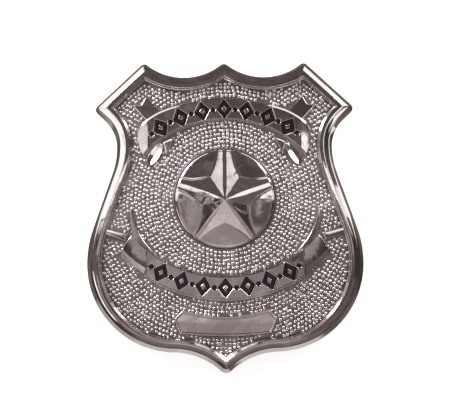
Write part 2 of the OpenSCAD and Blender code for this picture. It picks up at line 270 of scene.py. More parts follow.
def nickel(name, bright, dull, gloss, grain, bump, sway):
    """Plated nickel: polish that clouds in soft patches, with fine marks of the buffing wheel and
    a slow sway of the hand-finished surface, given in millimetres."""
    material, wire, shader, place = start_material(name)
    cloud = wire.node("ShaderNodeTexNoise", None, {
        "Vector": place, "Scale": 220.0, "Detail": 4.0, "Roughness": 0.6})
    brushed = wire.node("ShaderNodeMapping", None, {
        "Vector": place, "Scale": (900.0, 9000.0, 900.0), "Rotation": (0.0, 0.0, 0.5)})
    marks = wire.node("ShaderNodeTexNoise", None, {
        "Vector": brushed, "Scale": 1.0, "Detail": 3.0, "Roughness": 0.7})
    spots = wire.node("ShaderNodeTexNoise", None, {"Vector": place, "Scale": 1600.0, "Detail": 2.0})
    patch = ((cloud - 0.45) * 4.0).clamp()
    patch.mix((*dull, 1.0), (*bright, 1.0)).into(shader, "Base Color")
    (gloss + (1 - patch) * grain + marks * grain * 0.5).into(shader, "Roughness")
    slow = wire.node("ShaderNodeTexNoise", None, {
        "Vector": place, "Scale": 300.0, "Detail": 1.5, "Distortion": 0.6})
    swayed = wire.node("ShaderNodeBump", None, {
        "Strength": 1.0, "Distance": sway * MM, "Height": slow})
    relief = wire.node("ShaderNodeBump", None, {
        "Strength": bump, "Distance": 0.02 * MM, "Height": marks * 0.6 + spots * 0.4,
        "Normal": swayed})
    relief.into(shader, "Normal")
    shader.inputs["Metallic"].default_value = 1.0
    return material


polished = nickel("nickel_polished", (0.69, 0.66, 0.655), (0.51, 0.47, 0.46),
                  gloss=0.03, grain=0.06, bump=0.20, sway=0.05)
outer_foot = on_level(outline(0.0), FOOT_ROUND)
inner_foot = on_level(outline(WALL), FOOT_ROUND)
top_rings = [crest_ring(inset, height) for inset, height in soften(TOP, 2)]
under_rings = [on_dome(outline(inset), CREST + height) for inset, height in soften(UNDER, 1)]
outer_wall = [outer_foot + (top_rings[0] - outer_foot) * t for t in np.linspace(0, 1, 7)[:-1]]
inner_wall = [under_rings[-1] + (inner_foot - under_rings[-1]) * t
              for t in np.linspace(0, 1, 5)[1:]]
soles = [on_level(outline(inset), 0.0) for inset in (WALL - FOOT_INSET, FOOT_INSET)]
rim_rows = np.stack(outer_wall + top_rings + under_rings + inner_wall + soles)
put_piece("rim", rim_rows, quads(*rim_rows.shape[:2], True, True).tolist(),
          "shield", polished)

# Field. The gently domed sheet inside the rim, part of the same striking, with a rough frost
# finish between its beads and its nickel painted darker there as painted shade. In its middle is
# the round seat for the medallion, with a thin lip, and its back is the badge's plain hollow back.
SHEET = 1.5
SEAT_Y = 3.7
SEAT_R = 11.3
SEAT_Z = 6.3
LIP = 0.3
# Distance past the seat's edge and height over the field, from the lip's foot to the seat
LIP_PROFILE = ((LIP + 0.05, 0.10), (LIP - 0.02, 0.25), (LIP / 2, 0.30), (0.05, 0.25), (0.0, 0.10))
LIP_SPREAD = 0.15
UNDER_RIM = 0.25


def capped(rows, first_pole, last_pole):
    """Points and faces of a grid with round rows, closed by a fan of triangles about a point at
    either end."""
    count, around = rows.shape[:2]
    here = np.arange(around)
    following = (here + 1) % around
    last = (count - 1) * around
    first_fan = np.stack([np.full(around, count * around), following, here], axis=1)
    last_fan = np.stack([last + here, last + following, np.full(around, count * around + 1)], axis=1)
    faces = quads(count, around, False, True).tolist() + first_fan.tolist() + last_fan.tolist()
    return np.concatenate([rows.reshape(-1, 3), [first_pole, last_pole]]), faces


# The field's base colours are painted darker than the rim's nickel: painted shade in the gaps between
# the beads. Its roughness is the real frost finish.
frost_and_painted_shade = nickel("nickel_frost_and_painted_shade", (0.44, 0.41, 0.405), (0.28, 0.255, 0.25),
                 gloss=0.34, grain=0.15, bump=0.6, sway=0.05)
middle = np.array([0.0, SEAT_Y])
edge = outline(RIM_WIDTH - UNDER_RIM)
outward = (edge - middle) / np.linalg.norm(edge - middle, axis=1)[:, None]
lip_foot = middle + outward * (SEAT_R + LIP + LIP_SPREAD)
field_rows = np.stack(
    [on_dome(middle + (edge - middle) * t, -SHEET) for t in np.linspace(0.04, 1, 16)]
    + [on_dome(lip_foot + (edge - lip_foot) * t, 0.0) for t in np.linspace(1, 0, 26)]
    + [on_dome(middle + outward * (SEAT_R + past), rise) for past, rise in LIP_PROFILE]
    + [on_level(middle + outward * radius, SEAT_Z) for radius in (SEAT_R, SEAT_R - 0.1, SEAT_R / 2)])
points, faces = capped(field_rows, on_dome(middle, -SHEET), [*middle, SEAT_Z])
put_piece("field", points, faces, "shield", frost_and_painted_shade)

# Ribbons. Two polished bands struck up from the field, with drafted walls and soft edges. Their
# ends roll or lean down, and pockets for the enamel are sunk along their middle, each with a
# fine lip.
RIBBON_RISE = 1.0
SUNK = 0.15
# Height of the centre, inner and outer radius, the angles where both edges end, and the side
UPPER = (-3.05, 24.3, 29.9, 48.5, 41.0, 1)
LOWER = (13.9, 27.3, 33.3, 49.5, 46.0, -1)
ROLL_BULGE = 0.5
END_SWELL, SWELL_START, SWELL_WIDTH = 0.9, 12, 20
CORNER_CUT, CORNER_LENGTH = 0.8, 2.4
# The lower wall reaches a ledge at a share of its height, and the upper wall ends in a chamfer
LEDGE, LEDGE_DRAFT, LEDGE_WIDTH, LEDGE_WALL = 0.45, 0.22, 0.50, 0.25
CHAMFER, CHAMFER_DRAFT, CHAMFER_START, CHAMFER_WIDTH = 0.27, 0.30, 0.22, 0.45
END_DRAFT = 0.35
LOZENGES = 7
LOZENGE_A, LOZENGE_B = 1.65, 2.1
LINE = 0.7
DOT_R = 0.45
UPPER_PITCH, LOWER_PITCH = 10.6, 9.5
POCKET, POCKET_EDGE, POCKET_DRAFT = 0.45, 0.14, 0.15
POCKET_LIP, LIP_FROM_EDGE, LIP_WIDTH = 0.07, 0.22, 0.09
# Where the upper ends start to roll and the fold before it, which fades near the outer edge
ROLL_X, ROLL_SLOPE, ROLL_ONSET = 17.2, 0.30, 0.5
FOLD_X, FOLD_HEIGHT, FOLD_WIDTH, FOLD_REACH, FOLD_FADE = 17.05, 0.07, 0.38, 0.92, 0.3
CREASE, CREASE_WIDTH, PANEL_SLOPE, PANEL_PILLOW = 18.9, 0.3, 0.10, 0.12
PANEL_BEVEL, PANEL_BEVEL_SLOPE = 1.9, 0.10

# The slope of a lozenge's edge turns its share of the way in into a distance
lozenge_slope = LOZENGE_A * LOZENGE_B / math.hypot(LOZENGE_A, LOZENGE_B)
first_lozenge = -(LOZENGES - 1) / 2


def with_edges(length, step, run_in, fine):
    """Places along a width: fine steps near both edges and even steps between them."""
    near = np.arange(0, run_in, fine)
    count = max(int(round((length - 2 * run_in) / step)), 2)
    return np.concatenate([near, np.linspace(run_in, length - run_in, count + 1),
                           length - near[::-1]])


def closed_sheet(rows, columns):
    """Faces of a grid that is seen from above, with one flat face under it to close it."""
    index = np.arange(rows * columns).reshape(rows, columns)
    border = np.concatenate([index[0], index[1:, -1], index[-1, -2::-1], index[-2:0:-1, 0]])
    return quads(rows, columns).tolist() + [border[::-1].tolist()]


def ornament_marks(ribbon, pitch, angle, radius):
    """Distance inside the nearest lozenge line or dot: a lozenge's edge lies where x over its
    half width plus y over its half height is 1."""
    middle_r = (ribbon[1] + ribbon[2]) / 2
    found = np.full(angle.shape, -9.0)
    for i in range(LOZENGES):
        turned = angle - math.radians((first_lozenge + i) * pitch)
        x, y = radius * np.sin(turned), radius * np.cos(turned) - middle_r
        inside = (1 - np.abs(x) / LOZENGE_A - np.abs(y) / LOZENGE_B) * lozenge_slope
        found = np.maximum(found, np.minimum(inside, LINE - inside))
    for i in range(LOZENGES + 1):
        turned = angle - math.radians((first_lozenge + i - 0.5) * pitch)
        x, y = radius * np.sin(turned), radius * np.cos(turned) - middle_r
        found = np.maximum(found, DOT_R - np.hypot(x, y))
    return found


def end_swell(angle, to_end, up):
    """How far the upper ribbon's outer edge swells towards its ends, less their round corners."""
    corner = CORNER_CUT * (1 - ease(to_end / CORNER_LENGTH))
    swell = END_SWELL * ease((angle - math.radians(SWELL_START)) / math.radians(SWELL_WIDTH))
    return (swell - corner) * (up > 0)


def rolled_end(far_out, v):
    """The upper ribbon's ends roll down to the side: the slope grows to its full value over half
    a millimetre, and a small fold, the bell curve of a distance, stands up before the roll. Here
    and below, v is the share of the way from the ribbon's inner to its outer edge."""
    past = np.clip(far_out - ROLL_X, 0, None)
    fold = np.exp(-((far_out - FOLD_X) / FOLD_WIDTH) ** 2) * ease((FOLD_REACH - v) / FOLD_FADE)
    roll = past - ROLL_ONSET * (1 - np.exp(-past / ROLL_ONSET))
    return ROLL_SLOPE * roll - FOLD_HEIGHT * fold


def leaning_end(far_out, v):
    """The end panels of the lower ribbon lean down at once past a crease, are pillowed, and have
    a wide bevel along their lower edge."""
    past = np.clip(far_out - CREASE, 0, None)
    bevel = np.clip(PANEL_BEVEL - (LOWER[2] - LOWER[1]) * (1 - v), 0, None)
    panel = PANEL_PILLOW * (2 * v - 1) ** 2 + PANEL_BEVEL_SLOPE * bevel
    return PANEL_SLOPE * past + ease(past / CREASE_WIDTH) * panel


def ribbon_sheet(ribbon, pitch):
    """Polar grid of a ribbon. The height over the field is the rise, eased up over the wall,
    less the pockets, plus their lips, less what its ends roll or lean down. The wall on the
    badge's lower side has a narrow ledge on the way up."""
    centre_y, inner, outer, inner_end, outer_end, up = ribbon
    width = outer - inner
    across = with_edges(width, step=0.10, run_in=1.0, fine=0.05)[:, None]
    v = across / width
    radius = inner + across
    bulge = 4 * v * (1 - v) * ROLL_BULGE / radius
    half = np.radians(inner_end + (outer_end - inner_end) * v) + bulge
    length = 2 * math.radians((inner_end + outer_end) / 2) * (inner + outer) / 2
    along = with_edges(length, step=0.11, run_in=2.4, fine=0.08)[None, :] / length * 2 - 1
    angle = along * half
    to_end = (1 - np.abs(along)) * half * radius
    radius = radius + v * end_swell(np.abs(angle), to_end, up)
    plan = np.stack([radius * np.sin(angle), centre_y + up * radius * np.cos(angle)], axis=-1)
    low_side, high_side = (across, width - across) if up > 0 else (width - across, across)
    ledge = LEDGE * ease(low_side / LEDGE_DRAFT)
    ledge = ledge + (1 - LEDGE) * ease((low_side - LEDGE_WIDTH) / LEDGE_WALL)
    chamfer = CHAMFER * np.clip((high_side - CHAMFER_START) / CHAMFER_WIDTH, 0, 1)
    chamfer = chamfer + (1 - CHAMFER) * ease(high_side / CHAMFER_DRAFT)
    wall = np.minimum(ledge, chamfer) * ease(to_end / END_DRAFT)
    if up > 0:
        drop = rolled_end(np.abs(plan[..., 0]), v)
    else:
        drop = leaning_end(np.abs(angle * radius), v)
    marks = ornament_marks(ribbon, pitch, angle, radius)
    pocket = POCKET * ease((marks + POCKET_EDGE) / POCKET_DRAFT)
    lip = POCKET_LIP * np.exp(-((marks + LIP_FROM_EDGE) / LIP_WIDTH) ** 2)
    grid = on_dome(plan, 0.0, -SUNK + (RIBBON_RISE - drop - pocket + lip + SUNK) * wall)
    return grid if up > 0 else grid[::-1]


for name, ribbon, pitch in (("upper_ribbon", UPPER, UPPER_PITCH),
                            ("lower_ribbon", LOWER, LOWER_PITCH)):
    grid = ribbon_sheet(ribbon, pitch)
    put_piece(name, grid, closed_sheet(*grid.shape[:2]), "shield", polished)

# Tails, curls and horns. The ends of the cloth that the ribbons imitate, lower than the ribbons
# themselves: a swallow tail, a sliver and a hollow curl beside the upper one, a horn and a stub
# beside the lower one, all struck up from the field and polished.
LOW_RISE, LOW_DRAFT = 0.55, 0.4
DISH_START, DISH_RUN = 0.3, 1.3
# Two corners of the tail's root, then its two points with the notch between them
TAIL = np.array([[12.5, 22.2], [16.5, 20.1], [21.3, 25.5], [19.0, 25.4], [17.8, 27.7]])
TAIL_CROWDING, NOTCH_SLANT = 1.6, 0.8
SLIVER = np.array([[10.8, 18.2], [14.4, 16.7], [13.2, 13.0]])
STUB = np.array([[21.4, -3.7], [28.2, -1.9], [28.4, -3.9], [22.2, -6.0]])
# A curl and a horn lie between two curves from one point to the other, given by their bulges
CURL, CURL_BULGES, CURL_FULLNESS = ((13.9, 16.7), (17.3, 11.2)), (-1.6, 1.5), 0.5
HORN, HORN_BULGES = ((21.0, 3.1), (14.2, -9.4)), (-1.5, -3.7)
POINT_TRIM = 0.0005


def crowded(count):
    """Places from 0 to 1, closer near both ends: half of 1 less the cosine of even angles."""
    return (1 - np.cos(np.linspace(0, math.pi, count))) / 2


def bow(start, end, bulge, steps, fullness=1.0):
    """A line that bulges to the right of its direction: four times t (1 - t), to the power of the
    fullness, which is 1 for a parabola and a half for an ellipse with round ends. It stops a
    hair short of its ends, so that two lines to one point don't meet."""
    start, end = np.asarray(start, float), np.asarray(end, float)
    t = POINT_TRIM + (1 - 2 * POINT_TRIM) * crowded(steps + 1)[:, None]
    along = end - start
    normal = np.array([along[1], -along[0]]) / np.linalg.norm(along)
    return start + t * along + (4 * t * (1 - t)) ** fullness * bulge * normal


def between(left, right, columns, dish=0.0, lean=0.0):
    """A sheet between two side lines. Its height is eased up from both sides and both ends, dished
    in the middle, or crowned by a dish below 0, and leans by a slope from side to side."""
    u = crowded(columns)
    plan = left[:, None] * (1 - u[None, :, None]) + right[:, None] * u[None, :, None]
    width = np.linalg.norm(right - left, axis=1)[:, None]
    steps = np.linalg.norm(np.diff((left + right) / 2, axis=0), axis=1)
    along = np.concatenate([[0], np.cumsum(steps)])[:, None]
    d = np.minimum(np.minimum(u, 1 - u) * width, np.minimum(along, along[-1] - along))
    wall = ease(d / LOW_DRAFT)
    height = -SUNK + (LOW_RISE + SUNK) * wall
    height = height - dish * np.clip((d - DISH_START) / DISH_RUN, 0, 1)
    return on_dome(plan, 0.0, height + lean * (u - 0.5) * width * wall)


def put_pair(name, grid):
    """A sheet and its mirror image in one piece, both turned to face up."""
    rows, columns = grid.shape[:2]
    across = grid[rows // 2, -1] - grid[rows // 2, 0]
    along = grid[-1, columns // 2] - grid[0, columns // 2]
    if across[0] * along[1] - across[1] * along[0] < 0:
        grid = grid[:, ::-1]
    other = (grid * [-1, 1, 1])[:, ::-1]
    faces = closed_sheet(rows, columns)
    shifted = [[i + rows * columns for i in face] for face in faces]
    put_piece(name, np.concatenate([grid.reshape(-1, 3), other.reshape(-1, 3)]), faces + shifted,
              "shield", polished)


root_in, root_out, tip_out, notch, tip_in = TAIL
u = crowded(25)[:, None]
end_line = np.where(u < 0.5, tip_in + (notch - tip_in) * 2 * u,
                    notch + (tip_out - notch) * (2 * u - 1))
root_line = root_in + (root_out - root_in) * u
# Rows lie closer together towards the tail's notched end, which is cut at a slant
run_out = (1 - (1 - np.linspace(0, 1, 41)) ** TAIL_CROWDING)[:, None]
tail = root_line[None] * (1 - run_out[..., None]) + end_line[None] * run_out[..., None]
tail_width = np.linalg.norm(tail[:, -1] - tail[:, 0], axis=1)[:, None]
tail_length = np.linalg.norm(end_line - root_line, axis=1)[None]
d = np.minimum(np.minimum(u, 1 - u).T * tail_width, (1 - run_out) * tail_length * NOTCH_SLANT)
put_pair("swallow_tail", on_dome(tail, 0.0, -SUNK + (LOW_RISE + SUNK) * ease(d / LOW_DRAFT)))
put_pair("ribbon_sliver", between(
    bow(SLIVER[0], SLIVER[2], 0.0, 24), bow(SLIVER[1], SLIVER[2] + [0, 0.05], 0.0, 24), 13,
    lean=-0.2))
curl_sides = [bow(*CURL, bulge, 48, CURL_FULLNESS) for bulge in CURL_BULGES]
put_pair("ribbon_curl", between(*curl_sides, 41, dish=0.40, lean=0.17))
put_pair("ribbon_horn", between(*[bow(*HORN, bulge, 48) for bulge in HORN_BULGES], 17))
put_pair("ribbon_stub", between(
    bow(STUB[0], STUB[1], 0.0, 24), bow(STUB[3], STUB[2], 0.0, 24), 21, dish=-0.20))

# Number plate. A blank raised panel with pointed ends for the wearer's number, struck with the
# shell: a polished flat middle inside a fine raised border.
PLATE_RISE, PLATE_SINK, PLATE_BORDER = 0.8, 0.20, 0.45
PLATE_DRAFT, PLATE_STEP = 0.25, 0.40
PLATE_HORN, PLATE_SIDE, PLATE_FOOT = (9.5, -20.85), (11.8, -23.15), (10.35, -26.6)
PLATE_SAG = (1.75, 0.65)

plate_h = PLATE_HORN[1] - PLATE_FOOT[1]
v = (with_edges(plate_h, step=0.12, run_in=1.1, fine=0.05) / plate_h)[:, None]
half = np.interp(v, [0, (PLATE_SIDE[1] - PLATE_FOOT[1]) / plate_h, 1],
                 [PLATE_FOOT[0], PLATE_SIDE[0], PLATE_HORN[0]])
u = (with_edges(2 * PLATE_SIDE[0], step=0.16, run_in=1.1, fine=0.06) / PLATE_SIDE[0] - 1)[None, :]
bottom = PLATE_FOOT[1] - PLATE_SAG[1] * (1 - u**2)
top = PLATE_HORN[1] - PLATE_SAG[0] * (1 - u**2)
plan = np.stack([half * u, bottom + (top - bottom) * v], axis=-1)
d = np.minimum(np.minimum(v, 1 - v) * (top - bottom), (1 - np.abs(u)) * half)
height = -SUNK + (PLATE_RISE + SUNK) * ease(d / PLATE_DRAFT)
height = height - PLATE_SINK * ease((d - PLATE_BORDER) / PLATE_STEP)
grid = on_dome(plan, 0.0, height)
put_piece("number_plate", grid, closed_sheet(*grid.shape[:2]), "shield", polished)

# Beads of the field. Small round beads in staggered rings that fill the field between the rim
# and the raised work, cut in the die by hand, so they vary a little in size and place.
PITCH, RING_GAP, RINGS = 0.95, 0.89, 40
BEAD_R, BEAD_H, BEAD_FOOT = 0.47, 0.42, -0.30
RING_CLEAR, RIM_CLEAR, SEAT_CLEAR, RELIEF_CLEAR = 0.42, 0.12, 0.25, 0.04
BEAD_SHIFT, BEAD_LEAN, BEAD_SIZES = 0.08, 0.22, (0.82, 1.06)
# Radius and height of a bead's rings, as shares of its own
BEAD_PROFILE = ((1.0, BEAD_FOOT), (0.93, 0.25), (0.74, 0.63), (0.40, 0.92))
# The right half of the plate with its sagging edges, which run past the middle line
PLATE_LINE = np.array([(-1, -22.6), (3, -22.5), (6, -22.1), (8, -21.6),
                       PLATE_HORN, PLATE_SIDE, PLATE_FOOT, (5, -27.1), (-1, -27.25)])


def facing(turns):
    """Unit directions of angles in radians: their cosines and sines."""
    return np.stack([np.cos(turns), np.sin(turns)], axis=-1)


def depth_inside(points, line):
    """Signed distance to a closed line, positive inside: the least distance to its sides, with
    the sign from how many sides a ray to the right crosses."""
    a, b = line, np.roll(line, -1, axis=0)
    sides = b - a
    rel = points[:, None] - a[None]
    share = np.clip((rel * sides).sum(-1) / np.maximum((sides**2).sum(-1), 1e-9), 0, 1)
    least = np.sqrt(((rel - share[..., None] * sides) ** 2).sum(-1)).min(1)
    above = (a[None, :, 1] > points[:, None, 1]) != (b[None, :, 1] > points[:, None, 1])
    fall = np.where(np.abs(sides[:, 1]) < 1e-12, 1e-12, sides[:, 1])
    cross_x = a[:, 0] + (points[:, None, 1] - a[:, 1]) / fall * sides[:, 0]
    inside = (above & (points[:, None, 0] < cross_x)).sum(1) % 2 == 1
    return np.where(inside, least, -least)


def ribbon_line(ribbon, steps=60):
    """The outline of a ribbon, round its inner and then its outer edge."""
    centre_y, inner, outer, inner_end, outer_end, up = ribbon
    a, b = np.linspace(-inner_end, inner_end, steps), np.linspace(outer_end, -outer_end, steps)
    turn = np.radians(np.concatenate([a, b]))
    to_end = np.abs(np.abs(b) - outer_end) * outer * math.pi / 180
    swell = end_swell(np.radians(np.abs(b)), to_end, up)
    radius = np.concatenate([np.full(steps, inner), outer + swell])
    return np.stack([radius * np.sin(turn), centre_y + up * radius * np.cos(turn)], axis=1)


def leaf_line(ends, bulges, fullness=1.0):
    """The closed line round a curl or a horn: out along one side and back along the other."""
    out = bow(*ends, bulges[0], 12, fullness)
    return np.concatenate([out, bow(*ends[::-1], -bulges[1], 12, fullness)])


rng = np.random.default_rng(7)
ring_radii = SEAT_R + LIP + RING_CLEAR + RING_GAP * np.arange(RINGS)
ring_counts = (2 * math.pi * ring_radii / PITCH).astype(int)
bead_order = np.concatenate([
    np.arange(count) + 0.5 * (i % 2) for i, count in enumerate(ring_counts)])
bead_turns = bead_order * 2 * math.pi / np.repeat(ring_counts, ring_counts)
places = middle + np.repeat(ring_radii, ring_counts)[:, None] * facing(bead_turns)
places = places + rng.normal(0, BEAD_SHIFT, places.shape)

keep = depth_inside(places, outline(RIM_WIDTH)) > RIM_CLEAR
keep &= np.linalg.norm(places - middle, axis=1) > SEAT_R + LIP + SEAT_CLEAR
for ribbon in (UPPER, LOWER):
    keep &= depth_inside(places, ribbon_line(ribbon)) < -RIM_CLEAR
right_side = places * np.where(places[:, :1] < 0, [-1, 1], [1, 1])
for line in (TAIL, SLIVER, leaf_line(CURL, CURL_BULGES, CURL_FULLNESS),
             leaf_line(HORN, HORN_BULGES), STUB, PLATE_LINE):
    keep &= depth_inside(right_side, line) < -RELIEF_CLEAR
places = places[keep]

eight = np.arange(8)
eighths = facing(np.radians(eight * 45.0))
rings = [on_level(eighths * out, up) for out, up in BEAD_PROFILE]
bead = np.concatenate([*rings, [[0, 0, 1.0], [0, 0, BEAD_FOOT]]])
crown = len(rings) * 8
next_eight = (eight + 1) % 8
bead_quads = quads(len(rings), 8, False, True)
bead_tops = np.stack([crown - 8 + eight, crown - 8 + next_eight, np.full(8, crown)], axis=1)
bead_feet = np.stack([next_eight, eight, np.full(8, crown + 1)], axis=1)
size = rng.uniform(*BEAD_SIZES, (len(places), 1, 1))
spin = rng.uniform(0, math.pi, len(places))[:, None, None]
flat_x, flat_y = bead[None, :, :1], bead[None, :, 1:2]
turned_xy = np.concatenate([flat_x * np.cos(spin) - flat_y * np.sin(spin),
                            flat_x * np.sin(spin) + flat_y * np.cos(spin)], axis=-1)
lean = rng.normal(0, BEAD_LEAN, (len(places), 1, 2))
bead_xy = places[:, None] + (turned_xy * BEAD_R + lean * bead[None, :, 2:] * BEAD_H) * size
bead_z = on_dome(places, 0.0)[:, None, 2] + bead[None, :, 2] * BEAD_H * size[..., 0]
offsets = (np.arange(len(places)) * len(bead))[:, None, None]
# The beads' base colours are painted lighter than the rim's nickel: a painted highlight that brightens
# every bead.
beads_painted_lighter = nickel("nickel_beads_painted_highlight", (0.90, 0.88, 0.875), (0.78, 0.75, 0.74),
                  gloss=0.19, grain=0.06, bump=0.3, sway=0.02)
put_piece("field_beads", np.concatenate([bead_xy, bead_z[..., None]], axis=-1),
          (bead_quads[None] + offsets).reshape(-1, 4).tolist()
          + (np.concatenate([bead_tops, bead_feet])[None] + offsets).reshape(-1, 3).tolist(),
          "shield", beads_painted_lighter)

# Star medallion. A round button struck by itself and set into the seat: a polished dome with a
# five-pointed star standing from it, each arm with a sharp ridge between two flat facets.
DISC_R, DISC_EDGE, DISC_RISE = 11.15, 7.3, 1.3
DISC_FOOT, FOOT_BEVEL = 6.35, 0.10
STAR_R, NOTCH_R, UPPER_NOTCH_R = 12.6, 4.9, 5.0
APEX_Z, APEX_DY = 10.4, -0.5
# How far the corners stand over the dome: the top arm's tip, the side arms' tips, the others
TOP_STANDS, SIDE_STANDS, STANDS = 0.38, 0.25, 0.12
# The arms' ridges are cut flat by a hair, more on the side arms and less near the apex
RIDGE_CUT, SIDE_CUT, CUT_START, CUT_GROWTH = 0.10, 0.06, 0.02, 0.03
RIDGE_ROLL, CUT_ROLL, VALLEY_ROLL = 0.02, 0.03, 0.05
EDGE_ROLL, EDGE_DROP, EDGE_CHAMFER = 0.75, 0.25, 0.08
GROOVE, GROOVE_AT, GROOVE_WIDTH = 0.06, 0.08, 0.06
PER_FACET = 48

dome_r = (DISC_R**2 + DISC_RISE**2) / (2 * DISC_RISE)
dome_base = DISC_EDGE + DISC_RISE - dome_r
apex = np.array([0.0, APEX_DY, APEX_Z])


def disc_height(radius):
    """The medallion's dome: the root of its sphere's radius squared less the distance squared."""
    return dome_base + np.sqrt(dome_r**2 - radius**2)


def star_corner(k):
    """The star's corners in turn, the even ones its points and the odd ones its inner corners."""
    k = k % 10
    radius = STAR_R if k % 2 == 0 else UPPER_NOTCH_R if k in (1, 9) else NOTCH_R
    stands = {0: TOP_STANDS, 2: SIDE_STANDS, 8: SIDE_STANDS}.get(k, STANDS)
    x, y = radius * facing(math.radians(90 + 36 * k))
    return np.array([x, y, disc_height(radius) + stands])


def facet(plan, first, second):
    """Height of the plane through the star's apex and two of its corners: the apex's height less
    the way from the apex times the plane's normal, over the normal's upward part."""
    n = np.cross(star_corner(first) - apex, star_corner(second) - apex)
    return apex[2] - ((plan - apex[:2]) @ n[:2]) / n[2]


def soft_least(a, b, width):
    """The lesser of two heights, rounded where they cross: a blend h of both, which follows their
    difference over the width, less the width times h (1 - h)."""
    h = np.clip(0.5 + 0.5 * (b - a) / width, 0, 1)
    return b + (a - b) * h - width * h * (1 - h)


corners = np.stack([star_corner(k) for k in range(11)])
apex_turns = np.unwrap(np.arctan2(corners[:, 1] - apex[1], corners[:, 0]))
ray_count = 10 * PER_FACET
heading = facing(np.interp(np.linspace(0, 10, ray_count + 1)[:-1], np.arange(11), apex_turns))
# Each ray from the apex ends on the medallion's edge
ray = -(heading @ apex[:2]) + np.sqrt((heading @ apex[:2]) ** 2 + DISC_R**2 - APEX_DY**2)
share = np.concatenate([np.linspace(0.01, 0.92, 84), np.linspace(0.93, 1.0, 14)])
plan = apex[:2] + heading[None] * (ray[None] * share[:, None])[..., None]
facets = np.stack([facet(plan, k, k + 1) for k in range(10)])
rays = np.arange(ray_count)
sector = rays // PER_FACET
odd = sector % 2
own, over_ridge, over_valley = [
    facets[k % 10, :, rays].T for k in (sector, sector - 1 + 2 * odd, sector + 1 - 2 * odd)]
from_apex = np.linalg.norm(plan - apex[:2], axis=-1)
ridge_cut = np.minimum(RIDGE_CUT + SIDE_CUT * np.abs(heading[:, 0]),
                       CUT_START + CUT_GROWTH * from_apex)
roof = soft_least(soft_least(own, over_ridge, RIDGE_ROLL),
                  (own + over_ridge) / 2 - ridge_cut, CUT_ROLL)
star_z = -soft_least(-roof, -over_valley, VALLEY_ROLL)
from_middle = np.linalg.norm(plan, axis=-1)
dome_z = disc_height(from_middle)
rolled = np.clip(from_middle - (DISC_R - EDGE_ROLL), 0, None) / EDGE_ROLL
groove = GROOVE * np.exp(-(((dome_z - star_z - GROOVE_AT) / GROOVE_WIDTH) ** 2))
face_z = -soft_least(-star_z, groove - dome_z, VALLEY_ROLL) - EDGE_DROP * rolled**3
face = np.concatenate([plan, face_z[..., None]], axis=-1)
edge_ring = apex[:2] + heading * ray[:, None]
edge_rings = [on_level(edge_ring * out, height) for out, height in (
    (1.0, DISC_EDGE - EDGE_DROP - EDGE_CHAMFER), (1.0, DISC_FOOT + FOOT_BEVEL), (0.99, DISC_FOOT))]
disc_rows = np.concatenate([face, np.stack(edge_rings)])[::-1] + [0, SEAT_Y, 0]
points, faces = capped(disc_rows, [0, SEAT_Y, DISC_FOOT],
                       [0, SEAT_Y + APEX_DY, face_z[0].mean() + 0.02])
mirror_polish = nickel("nickel_mirror", (0.71, 0.68, 0.675), (0.55, 0.51, 0.505),
                       gloss=0.02, grain=0.07, bump=0.2, sway=0.08)
put_piece("medallion", points, faces, "star_medallion", mirror_polish)

# Black enamel. Each ribbon carries a plain row of open lozenges with dots between them, filled
# with black enamel that is fired in the pockets and lies a hair below the metal.
ENAMEL_LOW, ENAMEL_CROWN, ENAMEL_DEPTH = 0.10, 0.07, 0.3
LOZENGE_GAP, DOT_GAP = 0.03, 0.02
DOT_SIDES = 16


def enamel_material(name):
    """Glossy black glass with faint pits."""
    material, wire, shader, place = start_material(name)
    pits = wire.node("ShaderNodeTexNoise", None, {"Vector": place, "Scale": 1800.0, "Detail": 3.0})
    colour = ((pits - 0.4) * 3.0).clamp().mix((0.006, 0.006, 0.007, 1.0), (0.016, 0.014, 0.014, 1.0))
    colour.into(shader, "Base Color")
    (0.10 + pits * 0.15).into(shader, "Roughness")
    relief = wire.node("ShaderNodeBump", None, {"Strength": 0.3, "Distance": 0.03 * MM, "Height": pits})
    relief.into(shader, "Normal")
    return material


def ring_stack(rings, heights):
    """Flat rings of points, one over the other at the given heights."""
    levels = np.broadcast_to(np.asarray(heights)[:, None, None], (*rings.shape[:2], 1))
    return np.concatenate([rings, levels], axis=-1)


